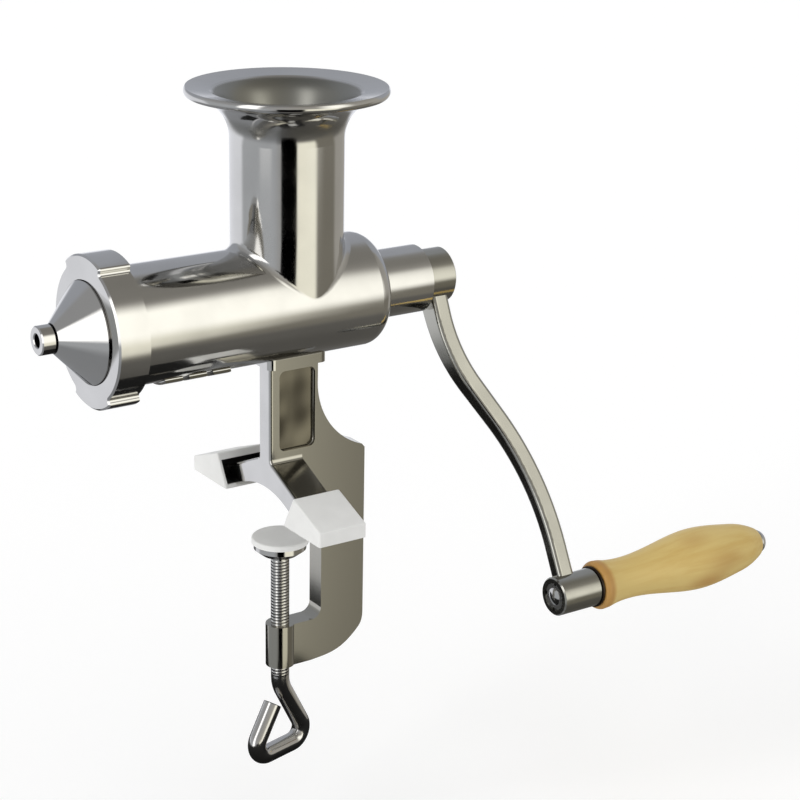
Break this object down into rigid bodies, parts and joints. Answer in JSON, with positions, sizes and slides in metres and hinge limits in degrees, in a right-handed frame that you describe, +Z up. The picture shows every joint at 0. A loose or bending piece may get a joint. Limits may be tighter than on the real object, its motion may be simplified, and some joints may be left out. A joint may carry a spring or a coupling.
{
  "type": "manual wheatgrass juicer",
  "caption": "Hand-cranked wheatgrass juicer in polished steel that clamps to a worktop edge, with a funnel, an auger, a pulp nozzle and a wooden grip.",
  "frame": {"origin": "in the worktop plane (the soles of the foot pads), straight below the feed tube and on the barrel's middle plane", "axes": "+X along the barrel from the nozzle to the crank, +Z up through the feed tube, +Y completes the right-handed frame"},
  "size_m": [0.3477, 0.1407, 0.3164],
  "materials": {
    "polished_steel": "mirror-polished stainless steel",
    "satin_steel": "turned and lightly polished stainless steel",
    "grip_wood": "pale varnished hardwood",
    "white_pad": "matte white moulded rubber",
    "seal_rubber": "plain food-grade rubber",
    "bearing_plastic": "white bearing plastic"
  },
  "bodies": {
    "housing": {"barrel_housing": "polished_steel", "feed_tube": "polished_steel", "hopper_funnel": "polished_steel", "clamp_stand": "polished_steel", "foot_pad_left": "white_pad", "foot_pad_right": "white_pad", "thrust_washer": "bearing_plastic", "shaft_seal": "seal_rubber", "rear_bush": "bearing_plastic", "strainer_screen": "satin_steel"},
    "nozzle": {"nozzle_cone": "polished_steel", "nozzle_tip": "polished_steel", "cap_gasket": "seal_rubber"},
    "cap": {"cap_ring": "polished_steel"},
    "crank": {"auger": "satin_steel", "drive_shaft": "satin_steel", "crank_arm": "polished_steel", "crank_washer": "satin_steel", "crank_screw": "satin_steel", "grip_spindle": "polished_steel", "spindle_nut": "satin_steel", "grip_washer": "satin_steel"},
    "grip": {"wooden_grip": "grip_wood"},
    "pressure_pad": {"clamp_pad": "satin_steel", "pad_cushion": "white_pad"},
    "screw": {"clamp_screw": "polished_steel", "swivel_rivet": "satin_steel"}
  },
  "joints": [
    {"name": "nozzle_slide", "type": "slide", "parent": "housing", "child": "nozzle", "axis": [-1, 0, 0], "range_m": [0, 0.00701]},
    {"name": "cap_ring_turn", "type": "hinge", "parent": "nozzle", "child": "cap", "pos_m": [-0.089, 0, 0.094], "axis": [-1, 0, 0], "range_deg": [0, 1260]},
    {"name": "crank_spin", "type": "hinge", "parent": "housing", "child": "crank", "pos_m": [0, 0, 0.094], "axis": [1, 0, 0], "continuous": true},
    {"name": "grip_spin", "type": "hinge", "parent": "crank", "child": "grip", "pos_m": [0.172, -0.0706, -0.04455], "axis": [1, 0, 0], "continuous": true},
    {"name": "clamp_travel", "type": "slide", "parent": "housing", "child": "pressure_pad", "axis": [0, 0, 1], "range_m": [-0.03401, 0.00601]},
    {"name": "clamp_screw_turn", "type": "hinge", "parent": "pressure_pad", "child": "screw", "pos_m": [-0.0035, 0, -0.06], "axis": [0, 0, 1], "range_deg": [-8160, 1440]}
  ],
  "couplings": [
    {"joint": "nozzle_slide", "follows": "cap_ring_turn", "m_per_rad": 0.00031831},
    {"joint": "clamp_travel", "follows": "clamp_screw_turn", "m_per_rad": 0.00023873}
  ]
}
